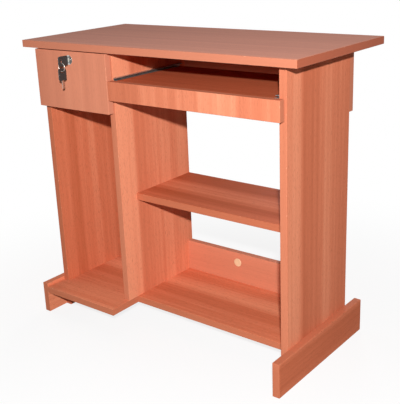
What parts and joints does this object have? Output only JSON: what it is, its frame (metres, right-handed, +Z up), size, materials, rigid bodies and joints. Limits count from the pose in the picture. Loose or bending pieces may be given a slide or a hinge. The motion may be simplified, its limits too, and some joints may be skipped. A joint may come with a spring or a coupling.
{
  "type": "study desk",
  "caption": "Laminated board study desk with a lockable drawer over a computer bay, a sliding keyboard tray, an open shelf bay and sled feet.",
  "frame": {"origin": "on the floor under the middle of the whole desk, feet and top together", "axes": "+X to the right along the width as seen from the user's side, +Y to the back, +Z up"},
  "size_m": [0.824, 0.424, 0.75],
  "materials": {
    "laminate": "satin reddish beech laminate on particle board",
    "box_board": "satin laminate on thinner particle board",
    "hardboard": "smooth hardboard",
    "dowel_wood": "fluted beech dowel, bare",
    "screw_steel": "zinc plated",
    "channel_steel": "rolled steel, zinc plated",
    "roller_nylon": "natural nylon",
    "cap_plastic": "cream plastic",
    "lock_metal": "nickel plated zinc casting",
    "bolt_steel": "bright steel",
    "key_metal": "nickel plated",
    "key_plastic": "black plastic"
  },
  "bodies": {
    "desk": {"table_top": "laminate", "left_side_panel": "laminate", "right_side_panel": "laminate", "divider_panel": "laminate", "back_apron": "laminate", "lower_back_rail": "laminate", "mid_shelf": "laminate", "base_board": "laminate", "left_foot": "laminate", "right_foot": "laminate", "rail_cap": "cap_plastic", "top_dowels": "dowel_wood", "divider_dowels": "dowel_wood", "base_dowels": "dowel_wood", "shelf_dowels": "dowel_wood", "rail_dowels": "dowel_wood", "apron_screws": "screw_steel", "foot_screws": "screw_steel", "fixed_slide_screws": "screw_steel", "drawer_left_fixed_channel": "channel_steel", "drawer_right_fixed_channel": "channel_steel", "tray_left_fixed_channel": "channel_steel", "tray_right_fixed_channel": "channel_steel"},
    "drawer": {"drawer_front": "laminate", "drawer_left_side": "box_board", "drawer_right_side": "box_board", "drawer_back": "box_board", "drawer_bottom": "hardboard", "drawer_front_dowels": "dowel_wood", "drawer_back_dowels": "dowel_wood", "drawer_slide_screws": "screw_steel", "drawer_left_moving_channel": "channel_steel", "drawer_right_moving_channel": "channel_steel", "lock_case": "lock_metal", "lock_collar": "lock_metal", "lock_screws": "screw_steel"},
    "tray": {"keyboard_tray": "laminate", "tray_front_strip": "laminate", "strip_dowels": "dowel_wood", "tray_slide_screws": "screw_steel", "tray_left_moving_channel": "channel_steel", "tray_right_moving_channel": "channel_steel"},
    "lock_turn": {"lock_plug": "lock_metal", "key_blade": "key_metal", "key_head": "key_plastic"},
    "bolt": {"lock_bolt": "bolt_steel"},
    "hanging_keys": {"key_ring": "key_metal", "spare_key_head": "key_plastic", "spare_key_blade": "key_metal"},
    "drawer_left_front_roller": {"drawer_left_front_roller": "roller_nylon"},
    "drawer_left_rear_roller": {"drawer_left_rear_roller": "roller_nylon"},
    "drawer_right_front_roller": {"drawer_right_front_roller": "roller_nylon"},
    "drawer_right_rear_roller": {"drawer_right_rear_roller": "roller_nylon"},
    "tray_left_front_roller": {"tray_left_front_roller": "roller_nylon"},
    "tray_left_rear_roller": {"tray_left_rear_roller": "roller_nylon"},
    "tray_right_front_roller": {"tray_right_front_roller": "roller_nylon"},
    "tray_right_rear_roller": {"tray_right_rear_roller": "roller_nylon"}
  },
  "joints": [
    {"name": "drawer_slide", "type": "slide", "parent": "desk", "child": "drawer", "axis": [0, -1, 0], "range_m": [0, 0.2]},
    {"name": "tray_slide", "type": "slide", "parent": "desk", "child": "tray", "axis": [0, -1, 0], "range_m": [0, 0.2]},
    {"name": "key_turn", "type": "hinge", "parent": "drawer", "child": "lock_turn", "pos_m": [-0.247, -0.165, 0.708], "axis": [0, -1, 0], "range_deg": [0, 90]},
    {"name": "bolt_rise", "type": "slide", "parent": "drawer", "child": "bolt", "axis": [0, 0, 1], "range_m": [0, 0.0072]},
    {"name": "keys_hang", "type": "hinge", "parent": "lock_turn", "child": "hanging_keys", "pos_m": [-0.247, -0.194, 0.7], "axis": [0, -1, 0], "range_deg": [-91, 1]},
    {"name": "drawer_left_front_roll", "type": "hinge", "parent": "desk", "child": "drawer_left_front_roller", "pos_m": [-0.3486, -0.138, 0.6067], "axis": [1, 0, 0], "range_deg": [0, 1530]},
    {"name": "drawer_left_rear_roll", "type": "hinge", "parent": "drawer", "child": "drawer_left_rear_roller", "pos_m": [-0.3466, 0.08, 0.6067], "axis": [1, 0, 0], "range_deg": [0, 1530]},
    {"name": "drawer_right_front_roll", "type": "hinge", "parent": "desk", "child": "drawer_right_front_roller", "pos_m": [-0.1424, -0.138, 0.6067], "axis": [1, 0, 0], "range_deg": [0, 1530]},
    {"name": "drawer_right_rear_roll", "type": "hinge", "parent": "drawer", "child": "drawer_right_rear_roller", "pos_m": [-0.1444, 0.08, 0.6067], "axis": [1, 0, 0], "range_deg": [0, 1530]},
    {"name": "tray_left_front_roll", "type": "hinge", "parent": "desk", "child": "tray_left_front_roller", "pos_m": [-0.1136, -0.138, 0.6547], "axis": [1, 0, 0], "range_deg": [0, 1530]},
    {"name": "tray_left_rear_roll", "type": "hinge", "parent": "tray", "child": "tray_left_rear_roller", "pos_m": [-0.1116, 0.08, 0.6547], "axis": [1, 0, 0], "range_deg": [0, 1530]},
    {"name": "tray_right_front_roll", "type": "hinge", "parent": "desk", "child": "tray_right_front_roller", "pos_m": [0.3486, -0.138, 0.6547], "axis": [1, 0, 0], "range_deg": [0, 1530]},
    {"name": "tray_right_rear_roll", "type": "hinge", "parent": "tray", "child": "tray_right_rear_roller", "pos_m": [0.3466, 0.08, 0.6547], "axis": [1, 0, 0], "range_deg": [0, 1530]}
  ],
  "couplings": [
    {"joint": "bolt_rise", "follows": "key_turn", "m_per_rad": 0.0045022},
    {"joint": "keys_hang", "follows": "key_turn", "ratio": -1},
    {"joint": "drawer_left_front_roll", "follows": "drawer_slide", "rad_per_m": 133.33},
    {"joint": "drawer_left_rear_roll", "follows": "drawer_slide", "rad_per_m": 133.33},
    {"joint": "drawer_right_front_roll", "follows": "drawer_slide", "rad_per_m": 133.33},
    {"joint": "drawer_right_rear_roll", "follows": "drawer_slide", "rad_per_m": 133.33},
    {"joint": "tray_left_front_roll", "follows": "tray_slide", "rad_per_m": 133.33},
    {"joint": "tray_left_rear_roll", "follows": "tray_slide", "rad_per_m": 133.33},
    {"joint": "tray_right_front_roll", "follows": "tray_slide", "rad_per_m": 133.33},
    {"joint": "tray_right_rear_roll", "follows": "tray_slide", "rad_per_m": 133.33}
  ]
}
